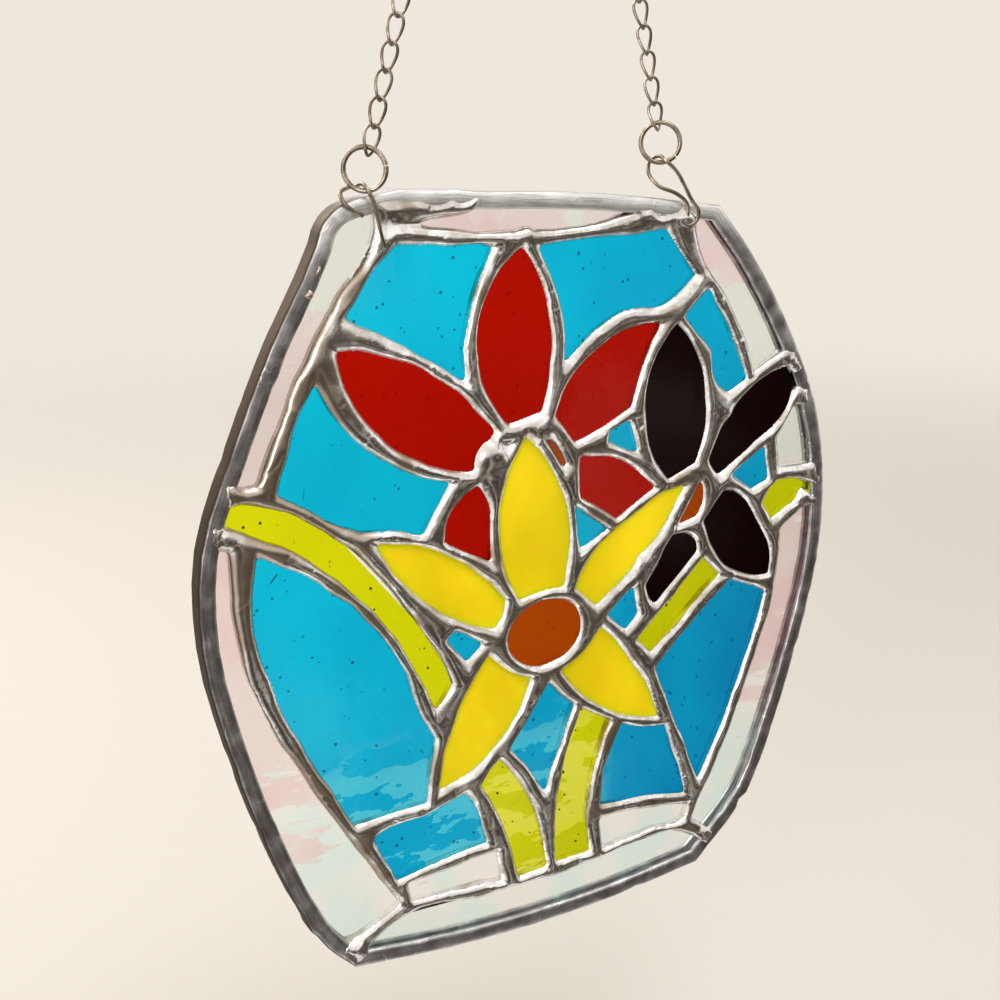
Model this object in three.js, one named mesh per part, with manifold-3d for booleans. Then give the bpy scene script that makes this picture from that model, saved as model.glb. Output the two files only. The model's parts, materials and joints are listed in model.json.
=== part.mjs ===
// A stained glass suncatcher: a barrel-shaped panel of 46 panes held by a solder net and a rim of lead
// came, with two wire loops, two jump rings and two chains that meet on one hanging ring.
// Millimetres, +Z up, front of the panel towards -Y. The panel is drawn with X across and Z up from its
// bottom edge; the whole group is then moved so that the origin is where the hanging ring hangs.
import * as THREE from 'three';
import { mergeVertices } from 'three/addons/utils/BufferGeometryUtils.js';
import Module from 'manifold-3d';

const wasm = await Module();
wasm.setup();

// Driving sizes.
const GLASS_THICK = 3;
const GAP = 0.3;            // clearance between touching pieces
const LAP = 0.7;            // how far the solder laps over the edge of a pane
const BEAD_HALF = 3;        // half the depth of the solder net, front bead to back bead
const BEAD_SLOPE = 0.6;     // chamfer that rounds a bead's shoulders
const CAME_HALF = 3.2;      // half the depth of the came
const FLANGE = 4.2;         // width of the came's flange seen from the front
const CAME_WEB = 1;         // thickness of the came's outer wall
const CAME_CHAMFER = 0.5;
const CHANNEL_ENTRY = 1.9;  // how far the border glass reaches under the flange
const CURVE_TOLERANCE = 0.35;
const SLIMMEST_MITRE = 0.4; // cosine at which a grown corner stops reaching further out
const CUT_PAST = 1;         // how far a cutter runs past the faces it cuts
const WELD = 1e-4;          // points closer than this are one

const LOOP_WIRE = 1;
const LOOP_SIDES = 6;
const RING_WIRE_SIDES = 8;
const JUMP_SIDES = 16;
const JUMP_RING = { radius: 4.9, wire: 1.2, turn: -0.6 };  // turned so that the twisted links cross it
const HANG_SIDES = 20;
const HANG_RING = { radius: 7.25, wire: 1.5, turn: 0.5 };
const LINK = { halfWidth: 2.15, halfLength: 3.75, twist: -1.15, wire: 0.8, fuse: 0.04 };
const LEFT_LINKS = 27;
const RIGHT_LINKS = 26;
const RING_Y = -2.2;        // rings and chains hang just in front of the middle of the came

// Outlines are lists of corners [x, z, bow], clockwise seen from the front. A bow is how far the side
// from this corner to the next one swells outwards, in mm; a negative bow bends into the pane.
const RIM = [
  [-60.2, 191.5, 2.2], [-50.5, 201.3, 2.6], [52.5, 195.5, 1.9], [82, 153.5, 2.2], [93.2, 116, 0.6],
  [92.6, 92, 2.3], [70.5, 22, 0.3], [52.5, 4, 4], [-57, 4.3, 1.2], [-69.5, 21, 2.9], [-92.2, 99, 0.3],
  [-91.2, 123, 1.9],
];

// The openings through which each pane shows. Those along the border run on past the rim here, and the
// rim trims them.
const PANES = {
  clear_top: [[-37.8, 195.2, 2.4], [28.5, 194.8, 3.2]],
  clear_left_upper: [[-56, 203, 0], [-45.2, 203, 0], [-45.2, 193.6, -2.2], [-76.2, 137.2, 0],
    [-84.5, 136.8, 0], [-96, 137.5, 0]],
  clear_left_lower: [[-96, 125.6, 0], [-87.8, 124.8, 0], [-84.2, 123, 0], [-83.2, 100, -1.5],
    [-72, 68, -0.3], [-43.3, 18, 0], [-60.2, 9.8, 0], [-68, 5, 0]],
  clear_bottom: [[-43.2, 14, -1.6], [44, 15.9, 0], [57, 9.6, 0], [66, 4, 0], [62, -6, 0],
    [-62, -6, 0], [-64, 3, 0]],
  clear_right_lower: [[79, 103.4, -0.3], [90, 109.2, 0], [99, 109.4, 0], [95, 60, 0], [68, 8, 0],
    [59.8, 11.2, 0], [50.9, 18.2, -2.5], [78.2, 88, 0.2]],
  clear_right_mid: [[81.8, 138.4, 0], [92, 139.6, 0], [98, 121, 0], [77.4, 121.4, 0.2], [76.4, 130.4, 0]],
  clear_right_upper: [[45.8, 199, 0], [60, 199, 0], [88, 156.5, 0], [77, 154.4, 0], [67, 150, -1.8],
    [49.4, 181, 0], [46.2, 190, 0]],
  green_stem_left: [[-88, 133.8, 0], [-82.5, 133.6, 2.2], [-58.5, 122.5, 0.3], [-33.3, 91, 0.5],
    [-27, 77.3, 0], [-31.8, 70.2, -9], [-85.4, 128.6, 0], [-88, 129.6, 0]],
  green_tip_right: [[72.3, 111.8, 0.7], [77.2, 117.3, 1.2], [89.6, 114.4, 0], [89.3, 111.7, -0.9],
    [75.6, 105.9, 0]],
  clear_bottom_left: [[-40.6, 23.4, 0.3], [-13.9, 25.9, 0], [-12.6, 16.6, 0], [-39.6, 18, 0]],
  clear_bottom_right: [[18.8, 27, 0.7], [49.6, 23.2, 0], [48.4, 18.7, 0], [20.2, 16.9, 0]],
  blue_top_left: [[-40, 190.2, 0.3], [-13.6, 188.9, -3], [-22, 156.2, -0.5], [-53, 174.3, 0.9]],
  blue_top_right: [[-1.4, 188, -0.3], [36.8, 189.9, 0.2], [46, 177.8, 0.5], [36, 170.3, 0],
    [24.5, 170.2, -0.9], [6.3, 158.2, -2.4]],
  blue_right_upper: [[43.3, 167.1, 0], [51, 173.6, 1], [64.5, 148.3, 0], [58.4, 144.9, 0.9],
    [53, 150.6, 0], [52.3, 157.4, -0.3]],
  blue_left: [[-61.2, 160.9, -6], [-26.3, 131.3, -0.4], [-34.4, 119, -0.7], [-51, 122.4, 0.2],
    [-72, 134.3, 0.9]],
  blue_left_large: [[-77.3, 120, 7.5], [-35.8, 70.5, -0.2], [-32.3, 63.4, -0.2], [-34.8, 45.3, -0.4],
    [-55.4, 44.4, 0.5], [-74.5, 84, 3]],
  blue_right_large: [[36.8, 68.8, 0.9], [61.8, 90.8, 0], [74.6, 84.9, 1.8], [52.9, 31, 0.3]],
  blue_bottom_left: [[-50, 38.6, 0.4], [-47.6, 40.6, -0.9], [-23.6, 45.7, 1.2], [-16.6, 28.8, -0.5],
    [-43.8, 25.5, 0]],
  blue_bottom_centre: [[2.2, 72.2, -0.6], [10.1, 63.6, 0], [1.1, 39.4, -0.7], [-10.2, 55.2, -0.5]],
  blue_bottom_right: [[25.6, 54.2, -0.7], [40.3, 50.3, 0.5], [48.3, 27.1, -1.4], [18.5, 30.3, 1.4]],
  blue_chip_top: [[20.6, 138.8, 0], [26.9, 141.4, 0], [29.8, 131.4, 0], [20.3, 136.2, 0]],
  blue_chip_centre: [[10.3, 119.5, 0], [20.2, 112.1, 0], [11.4, 107.4, 0]],
  blue_chip_left: [[-28, 89.9, 0], [-25.6, 91.4, 0], [-17.2, 86.8, 0], [-22.8, 82, 0]],
  blue_chip_right: [[20.6, 87.4, 0.5], [28.8, 93.7, 0.2], [30.4, 86.3, 0], [26.5, 82.5, 0]],
  blue_chip_right_upper: [[61.3, 121.6, 0], [72.3, 128.7, 0], [73.6, 118.6, 0], [68.2, 116.5, 0]],
  red_petal_top: [[-5.8, 188.4, 5.2], [-0.3, 146.2, -0.2], [-10.2, 144.2, 10.6]],
  red_petal_left: [[-56.4, 167.4, 5.3], [-13.8, 142.8, 0.3], [-20, 133.1, 8.5]],
  red_petal_right: [[3.4, 144.6, 6.6], [36, 166, -1.4], [27.2, 144.2, -0.3], [9.6, 136.8, 0]],
  red_petal_lower_right: [[11.3, 133.1, 3], [34.8, 121.5, 0], [23, 114.4, 0.2], [12, 122.1, 0.5]],
  red_petal_lower_left: [[-18.4, 129.9, 1], [-15.2, 118, 0], [-15.1, 108.5, 0], [-28.4, 115.9, 2.7]],
  red_chip_left: [[-12.4, 140, 0], [-8.9, 139.8, 0], [-11.5, 134.6, 0], [-13.6, 134.6, 0]],
  orange_chip_top: [[0.3, 139.3, 0], [2, 140, 0.4], [7.6, 131.6, 0.2], [6.4, 130.2, 0]],
  dark_petal_top: [[41, 165.3, 6.5], [48.6, 126.4, 0.3], [39.6, 123.2, 9.1]],
  dark_petal_upper_right: [[52.8, 126.8, 5.4], [82, 151.6, 0], [82.4, 147.3, 0], [78.6, 137.9, 0.8],
    [56.2, 122.1, 0.5]],
  dark_petal_lower_right: [[51.6, 109.6, 0.2], [58, 116.7, 0.8], [64.5, 114.6, 0.9],
    [75.5, 98, 0], [75.6, 89.9, 1.6], [58.5, 96.8, 0.6]],
  dark_petal_lower_left: [[41.1, 106.8, 0.5], [47.5, 105.9, 0.8], [49.8, 101.2, 0], [36.2, 88, 0.7],
    [33.1, 94, 0.2]],
  orange_chip_right: [[42.6, 109.5, 0], [50.3, 122.1, 1.9], [49.4, 111.2, 0.3]],
  yellow_petal_top: [[-5, 140.8, 6.3], [6.6, 98.1, -0.6], [-6.8, 97.1, 6.9]],
  yellow_petal_left: [[-47.2, 118.4, 4.8], [-11.2, 97.4, 0.8], [-14.6, 90.3, 4.4]],
  yellow_petal_right: [[10.6, 97.2, 0.5], [14.8, 105.2, 0], [30, 115.8, 0.9], [46.4, 121.5, 2.5],
    [16.8, 91.2, 0.3]],
  yellow_petal_lower_left: [[-16.3, 83.3, -1.1], [-3.2, 74.1, 5.4], [-31.8, 47.7, 2.5]],
  yellow_petal_lower_right: [[18.7, 84.4, 2.3], [38.2, 53.7, 4.1], [6.2, 74.4, -1.4]],
  green_stem_bottom_left: [[-18.8, 46.6, 0.4], [-13, 53.2, 3], [1.8, 16.7, 0], [-7.1, 16.1, -1.2]],
  green_stem_bottom_right: [[12.4, 61.9, 0], [22.2, 56.3, -3.5], [16, 17.4, 0], [4.9, 16.9, 3.2]],
  green_stem_right: [[52, 98.5, 0.3], [57.7, 92.8, 0.2], [35, 73.2, 0], [30.2, 78.3, 0]],
};

// The oval at the heart of the yellow flower is a tilted ellipse.
const HEART = { x: 1, z: 86.3, across: 11.1, up: 9, tilt: 0.14, sides: 16 };

const GLASS_COLOURS = {
  clear: { color: 0xe9e2df, roughness: 0.08 },
  blue: { color: 0x0e94c4, roughness: 0.1 },
  red: { color: 0xa90d08, roughness: 0.1 },
  orange: { color: 0xa84a0a, roughness: 0.12 },
  dark: { color: 0x1c0606, roughness: 0.08 },
  yellow: { color: 0xecd010, roughness: 0.25 },
  green: { color: 0xc4c80f, roughness: 0.12 },
};

// One side of an outline as an arc with the given bow, without its end point.
function arcPoints([x0, z0, bow], [x1, z1]) {
  const steps = Math.max(1, Math.ceil(Math.sqrt(Math.abs(bow) / CURVE_TOLERANCE)));
  const start = new THREE.Vector2(x0, z0);
  const along = new THREE.Vector2(x1 - x0, z1 - z0);
  const half = along.length() / 2;
  along.normalize();
  const outward = new THREE.Vector2(-along.y, along.x);
  const halfAngle = 2 * Math.atan(bow / half);
  const points = [];
  for (let i = 0; i < steps; i += 1) {
    const angle = halfAngle * (2 * i / steps - 1);
    const radius = bow === 0 ? 0 : half / Math.sin(halfAngle);
    const s = bow === 0 ? 2 * half * i / steps : half + radius * Math.sin(angle);
    const h = bow === 0 ? 0 : radius * (Math.cos(angle) - Math.cos(halfAngle));
    points.push(start.clone().addScaledVector(along, s).addScaledVector(outward, h));
  }
  return points;
}

function outlinePoints(corners) {
  return corners.flatMap((corner, i) => arcPoints(corner, corners[(i + 1) % corners.length]));
}

function ellipsePoints({ x, z, across, up, tilt, sides }) {
  const centre = new THREE.Vector2(x, z);
  return Array.from({ length: sides }, (_, i) => {
    const angle = -2 * Math.PI * i / sides;
    const point = new THREE.Vector2(across * Math.cos(angle), up * Math.sin(angle));
    return point.rotateAround(new THREE.Vector2(), tilt).add(centre);
  });
}

// A clockwise outline moved outwards by a distance, or inwards by a negative one. A corner too sharp
// for a full mitre is cut short when it grows.
function grow(points, distance) {
  return points.map((point, i) => {
    const before = points[(i + points.length - 1) % points.length];
    const after = points[(i + 1) % points.length];
    const a = new THREE.Vector2(before.y - point.y, point.x - before.x).normalize();
    const b = new THREE.Vector2(point.y - after.y, after.x - point.x).normalize();
    const bisector = a.clone().add(b).normalize();
    const mitre = bisector.dot(a);
    const reach = distance / (distance < 0 ? mitre : Math.max(mitre, SLIMMEST_MITRE));
    return point.clone().addScaledVector(bisector, reach);
  });
}

// An upright slab with the given outline, centred on the panel's middle plane. A positive flare widens
// its two faces and a negative flare narrows them, over the given depth.
function slab(points, half, flare = 0, flareDepth = 0) {
  const options = flare === 0
    ? { depth: 2 * half, bevelEnabled: false }
    : {
      depth: 2 * (half - flareDepth),
      bevelEnabled: true,
      bevelSegments: 1,
      bevelThickness: flareDepth,
      bevelSize: -flare,
      bevelOffset: flare,
    };
  const geometry = new THREE.ExtrudeGeometry(new THREE.Shape(points), options);
  geometry.rotateX(Math.PI / 2);
  geometry.computeBoundingBox();
  const middle = (geometry.boundingBox.min.y + geometry.boundingBox.max.y) / 2;
  return geometry.translate(0, -middle, 0);
}

function toSolid(geometry) {
  geometry.deleteAttribute('normal');
  geometry.deleteAttribute('uv');
  const merged = mergeVertices(geometry, WELD);
  return new wasm.Manifold(new wasm.Mesh({
    numProp: 3,
    vertProperties: new Float32Array(merged.attributes.position.array),
    triVerts: new Uint32Array(merged.index.array),
  }));
}

function toGeometry(solid) {
  const mesh = solid.getMesh();
  const geometry = new THREE.BufferGeometry();
  geometry.setAttribute('position', new THREE.BufferAttribute(mesh.vertProperties, 3));
  geometry.setIndex(new THREE.BufferAttribute(mesh.triVerts, 1));
  geometry.computeVertexNormals();
  return geometry;
}

const UP = new THREE.Vector3(0, 0, 1);
const suncatcher = new THREE.Group();

function addPiece(name, geometry, material) {
  const piece = new THREE.Mesh(geometry, material);
  piece.name = name;
  suncatcher.add(piece);
}

const solderMetal = new THREE.MeshStandardMaterial({ color: 0xa9a29c, roughness: 0.25, metalness: 1 });
const leadMetal = new THREE.MeshStandardMaterial({ color: 0x77706e, roughness: 0.45, metalness: 1 });
const wireMetal = new THREE.MeshStandardMaterial({ color: 0x8d7f6c, roughness: 0.35, metalness: 1 });

// Glass panes and the solder net between them.
const rim = outlinePoints(RIM);
const channelFloor = toSolid(slab(grow(rim, CHANNEL_ENTRY - FLANGE), GLASS_THICK));
const glassGrooves = [];
const openings = [];

function addPane(name, opening) {
  const [colour] = name.split('_');
  const material = new THREE.MeshStandardMaterial({ ...GLASS_COLOURS[colour], metalness: 0 });
  const glass = toSolid(slab(grow(opening, LAP), GLASS_THICK / 2)).intersect(channelFloor);
  addPiece(`glass_${name}`, toGeometry(glass), material);
  glassGrooves.push(toSolid(slab(grow(opening, LAP + GAP), GLASS_THICK / 2 + GAP)));
  openings.push(toSolid(slab(opening, BEAD_HALF + GAP, BEAD_SLOPE, BEAD_HALF - GLASS_THICK / 2)));
}

for (const [name, corners] of Object.entries(PANES)) addPane(name, outlinePoints(corners));
addPane('orange_heart', ellipsePoints(HEART));

const netBlank = toSolid(slab(grow(rim, -FLANGE - GAP), BEAD_HALF));
const net = [...openings, ...glassGrooves].reduce((rest, cutter) => rest.subtract(cutter), netBlank);
addPiece('solder_net', toGeometry(net), solderMetal);

// The rim: a channel of lead came, open towards the glass.
const cameBlank = toSolid(slab(rim, CAME_HALF, -CAME_CHAMFER, CAME_CHAMFER));
const cameWindow = toSolid(slab(grow(rim, -FLANGE), CAME_HALF + CUT_PAST));
const cameChannel = toSolid(slab(grow(rim, -CAME_WEB), GLASS_THICK / 2 + GAP));
addPiece('came_frame', toGeometry(cameBlank.subtract(cameWindow).subtract(cameChannel)), leadMetal);

// Bent wire: a tube along a smooth curve through the given points.
function bentWire(points, diameter, sides, stepsPerPoint) {
  const section = new THREE.Shape(Array.from({ length: sides }, (_, i) => {
    const angle = 2 * Math.PI * i / sides;
    return new THREE.Vector2(Math.cos(angle), Math.sin(angle)).multiplyScalar(diameter / 2);
  }));
  const extrudePath = new THREE.CatmullRomCurve3(points.map((p) => new THREE.Vector3(...p)));
  return new THREE.ExtrudeGeometry(section, { steps: stepsPerPoint * points.length, extrudePath });
}

const LEFT_RING = new THREE.Vector3(-47.4, RING_Y, 207.9);
const RIGHT_RING = new THREE.Vector3(33.6, RING_Y, 211.7);

// A point given in a jump ring's own plane: across, up from its centre, and behind it.
function byRing(centre, across, up, behind) {
  const point = new THREE.Vector3(across, behind, up);
  return point.applyAxisAngle(UP, JUMP_RING.turn).add(centre).toArray();
}

// Wire loops soldered to the two top corners: each climbs from its foot in front of the came, turns
// over inside its jump ring and comes back down.
const FRONT_Y = -CAME_HALF - GAP - LOOP_WIRE / 2;
const CROWN_UP = -JUMP_RING.radius + JUMP_RING.wire / 2 + LOOP_WIRE / 2 + 1.5 * GAP;
const leftLoop = [
  [-43.4, FRONT_Y, 190.4], [-44.6, FRONT_Y - 0.3, 193.2], [-45.5, FRONT_Y - 0.5, 197], [-46.4, -4.6, 200.6],
  byRing(LEFT_RING, 0.9, -4.6, -1.6), byRing(LEFT_RING, -0.6, CROWN_UP, 0),
  byRing(LEFT_RING, -2.6, -3.9, 1.6), byRing(LEFT_RING, -4.2, -4.2, 1.4),
  [-52.8, -0.6, 202.9], [-53.4, -2.8, 201.4], [-52.2, FRONT_Y, 199.6], [-48.6, FRONT_Y, 197.6],
];
const rightLoop = [
  [41.4, FRONT_Y, 193.2], [41, FRONT_Y, 196.6], [37, FRONT_Y, 199.4], [32.2, -2.6, 201.1],
  [30.5, -0.6, 203.6], byRing(RIGHT_RING, -3.2, -5.6, 1.3), byRing(RIGHT_RING, -2.2, -4.2, 1.6),
  byRing(RIGHT_RING, -0.2, CROWN_UP, 0), byRing(RIGHT_RING, 1.6, -4.4, -1.6),
  [37, -4.9, 204.6], [39.6, -5.2, 200.6], [41.6, -5.3, 197.4], [44.2, -4.8, 194.6],
  [44.2, FRONT_Y, 192], [41.6, FRONT_Y, 190.8], [39.4, FRONT_Y, 192.2],
];
addPiece('wire_loop_left', bentWire(leftLoop, LOOP_WIRE, LOOP_SIDES, 2), wireMetal);
addPiece('wire_loop_right', bentWire(rightLoop, LOOP_WIRE, LOOP_SIDES, 2), wireMetal);

// An upright ring of round wire. Its section and its sweep both have a flat, not a corner, innermost
// and uppermost, so the inside of its top is one level facet.
function ring({ radius, wire, turn }, centre, sides) {
  const section = Array.from({ length: RING_WIRE_SIDES + 1 }, (_, i) => {
    const angle = 2 * Math.PI * (i + 0.5) / RING_WIRE_SIDES;
    return new THREE.Vector2(radius + wire / 2 * Math.cos(angle), wire / 2 * Math.sin(angle));
  });
  const geometry = new THREE.LatheGeometry(section, sides);
  geometry.rotateY(Math.PI / sides);
  geometry.rotateZ(turn);
  return geometry.translate(centre.x, centre.y, centre.z);
}
addPiece('jump_ring_left', ring(JUMP_RING, LEFT_RING, JUMP_SIDES), wireMetal);
addPiece('jump_ring_right', ring(JUMP_RING, RIGHT_RING, JUMP_SIDES), wireMetal);

// A chain link: an oval with a half twist between its ends, so that each end crosses its neighbour.
// It is swept from flat-sided wire, with a straight stretch at each end where the links bear.
const LINK_STEPS = 8;
const LINK_END = LINK.halfLength * Math.cos(Math.PI / LINK_STEPS);
const LINK_PITCH = 2 * LINK_END - LINK.wire + LINK.fuse;

function linkGeometry() {
  const positions = [];
  const index = [];
  for (let i = 0; i < LINK_STEPS; i += 1) {
    const t = 2 * Math.PI * (i + 0.5) / LINK_STEPS;
    const centre = new THREE.Vector3(
      LINK.halfWidth * Math.cos(t),
      LINK.twist * Math.sin(2 * t),
      LINK.halfLength * Math.sin(t),
    );
    const atEnd = Math.abs(Math.sin(t)) > Math.SQRT1_2;
    const out = atEnd
      ? new THREE.Vector3(0, 0, Math.sign(Math.sin(t)))
      : new THREE.Vector3(Math.sign(Math.cos(t)), 0, 0);
    const along = new THREE.Vector3(
      -LINK.halfWidth * Math.sin(t),
      2 * LINK.twist * Math.cos(2 * t),
      LINK.halfLength * Math.cos(t),
    );
    const side = new THREE.Vector3().crossVectors(along, out).normalize();
    for (const [u, v] of [[1, 1], [-1, 1], [-1, -1], [1, -1]]) {
      const corner = centre.clone();
      corner.addScaledVector(out, u * LINK.wire / 2).addScaledVector(side, v * LINK.wire / 2);
      positions.push(...corner.toArray());
    }
    for (let k = 0; k < 4; k += 1) {
      const a = 4 * i + k;
      const b = 4 * i + (k + 1) % 4;
      const c = 4 * ((i + 1) % LINK_STEPS) + k;
      const d = 4 * ((i + 1) % LINK_STEPS) + (k + 1) % 4;
      index.push(a, b, c, b, d, c);
    }
  }
  const geometry = new THREE.BufferGeometry();
  geometry.setAttribute('position', new THREE.Float32BufferAttribute(positions, 3));
  geometry.setIndex(index);
  return geometry;
}

// The chains run straight from the jump rings to two places side by side low on the hanging ring.
const LINK_TO_JUMP = JUMP_RING.wire / 2 + 2 * GAP + LINK.wire / 2;
const LINK_TO_HANG = HANG_RING.wire / 2 + 2 * GAP + LINK.wire / 2;
const SEAT_ANGLE = 0.36;    // of each chain's seat on the hanging ring, from its lowest point

function seatOffset(side) {
  const seat = new THREE.Vector3(side * Math.sin(SEAT_ANGLE), 0, -Math.cos(SEAT_ANGLE));
  return seat.multiplyScalar(HANG_RING.radius).applyAxisAngle(UP, HANG_RING.turn);
}

function chainReach(count) {
  return (count - 1) * LINK_PITCH + 2 * LINK_END + JUMP_RING.radius - LINK_TO_JUMP - LINK_TO_HANG;
}

// The hanging ring's centre, where both chains are taut: the upper meeting point of two circles.
function hangingPoint() {
  const left = LEFT_RING.clone().sub(seatOffset(-1));
  const right = RIGHT_RING.clone().sub(seatOffset(1));
  const apart = right.clone().sub(left);
  const width = apart.length();
  const a = (width ** 2 + chainReach(LEFT_LINKS) ** 2 - chainReach(RIGHT_LINKS) ** 2) / (2 * width);
  const h = Math.sqrt(chainReach(LEFT_LINKS) ** 2 - a ** 2);
  apart.normalize();
  const upward = new THREE.Vector3(-apart.z, 0, apart.x);
  return left.addScaledVector(apart, a).addScaledVector(upward, h);
}
const hangCentre = hangingPoint();

function chain(ringCentre, side, count) {
  const seat = seatOffset(side).add(hangCentre);
  const direction = seat.sub(ringCentre).normalize();
  const lean = new THREE.Quaternion().setFromUnitVectors(UP, direction);
  const first = JUMP_RING.radius - LINK_TO_JUMP + LINK_END;
  let body = null;
  for (let i = 0; i < count; i += 1) {
    const centre = ringCentre.clone().addScaledVector(direction, first + i * LINK_PITCH);
    const geometry = linkGeometry().applyQuaternion(lean).translate(centre.x, centre.y, centre.z);
    const link = toSolid(geometry);
    body = body === null ? link : body.add(link);
  }
  return toGeometry(body);
}
addPiece('chain_left', chain(LEFT_RING, -1, LEFT_LINKS), wireMetal);
addPiece('chain_right', chain(RIGHT_RING, 1, RIGHT_LINKS), wireMetal);
addPiece('hanging_ring', ring(HANG_RING, hangCentre, HANG_SIDES), wireMetal);

// The origin is the middle of the hanging ring's topmost inner facet.
const innerRadius = HANG_RING.radius - HANG_RING.wire / 2 * Math.cos(Math.PI / RING_WIRE_SIDES);
const facetHeight = innerRadius * Math.cos(Math.PI / HANG_SIDES);
suncatcher.position.set(-hangCentre.x, -RING_Y, -(hangCentre.z + facetHeight));

export default suncatcher;
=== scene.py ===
import json
from math import cos, pi, radians, sin

import bmesh
import bpy
import numpy as np
from mathutils import Matrix, Vector

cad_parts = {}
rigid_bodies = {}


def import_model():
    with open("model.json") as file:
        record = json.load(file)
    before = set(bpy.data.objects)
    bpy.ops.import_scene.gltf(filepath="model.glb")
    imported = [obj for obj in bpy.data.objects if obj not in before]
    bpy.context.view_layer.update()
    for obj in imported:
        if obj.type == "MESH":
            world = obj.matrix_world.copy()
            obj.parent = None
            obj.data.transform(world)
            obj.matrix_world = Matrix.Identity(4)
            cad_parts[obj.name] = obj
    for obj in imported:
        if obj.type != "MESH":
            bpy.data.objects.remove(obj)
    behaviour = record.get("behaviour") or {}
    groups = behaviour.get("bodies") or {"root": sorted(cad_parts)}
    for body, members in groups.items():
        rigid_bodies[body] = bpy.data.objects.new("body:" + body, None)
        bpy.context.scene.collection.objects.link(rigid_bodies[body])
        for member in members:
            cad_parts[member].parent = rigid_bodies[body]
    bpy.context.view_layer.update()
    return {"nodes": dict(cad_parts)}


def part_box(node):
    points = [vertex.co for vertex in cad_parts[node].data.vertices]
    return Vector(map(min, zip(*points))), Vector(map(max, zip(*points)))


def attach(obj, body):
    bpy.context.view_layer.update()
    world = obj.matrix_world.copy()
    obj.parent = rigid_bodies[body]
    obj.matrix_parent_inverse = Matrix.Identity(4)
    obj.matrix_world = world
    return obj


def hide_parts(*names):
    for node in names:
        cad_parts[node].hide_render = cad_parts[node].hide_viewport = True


for leftover in list(bpy.data.objects):
    bpy.data.objects.remove(leftover)
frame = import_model()

# ---------------------------------------------------------------- camera
# The eye stands to the left of the hanging panel, a little above it and close by, so the panel's
# left side looms and the chains run out over the top of the view.
MM = 0.001
AIM_FROM_FOOT = Vector((-14.1, 0, 125.2)) * MM
AROUND, DOWN, ROLL = 0.504649, 0.283756, 0.00508
EYE_DISTANCE = 366.4 * MM
came_low, came_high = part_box("came_frame")
panel_foot = Vector(((came_low.x + came_high.x) / 2, came_low.y, came_low.z))
look = Vector((sin(AROUND) * cos(DOWN), cos(AROUND) * cos(DOWN), -sin(DOWN)))
camera = bpy.data.objects.new("camera", bpy.data.cameras.new("camera"))
bpy.context.scene.collection.objects.link(camera)
camera.data.sensor_width = 36
camera.data.lens = 52.35
camera.data.clip_start = 0.01
camera.rotation_mode = "QUATERNION"
level_gaze = look.to_track_quat("-Z", "Y").to_matrix()
camera.rotation_quaternion = (Matrix.Rotation(ROLL, 3, look) @ level_gaze).to_quaternion()
camera.location = panel_foot + AIM_FROM_FOOT - look * EYE_DISTANCE
bpy.context.scene.camera = camera


# ---------------------------------------------------------------- studio
# A pale floor that fades into a pale surround. A warm softbox stands behind the panel, high up on the
# left, one hangs over its front and a weak one fills in from the left. A dome, which lights nothing,
# gives the bright metal a room to reflect.
class Value:
    """One shader socket that can be used in sums; each operator adds its Math node."""

    def __init__(self, finish, socket):
        self.finish = finish
        self.socket = socket

    def math(self, operation, *others):
        sockets = dict(enumerate((self, *others)))
        return self.finish.node("ShaderNodeMath", {"operation": operation}, sockets)

    def __add__(self, other):
        return self.math("ADD", other)

    def __mul__(self, other):
        return self.math("MULTIPLY", other)

    def __sub__(self, other):
        return self.math("SUBTRACT", other)

    def __rsub__(self, other):
        flipped = {0: other, 1: self}
        return self.finish.node("ShaderNodeMath", {"operation": "SUBTRACT"}, flipped)

    __radd__ = __add__
    __rmul__ = __mul__


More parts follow.
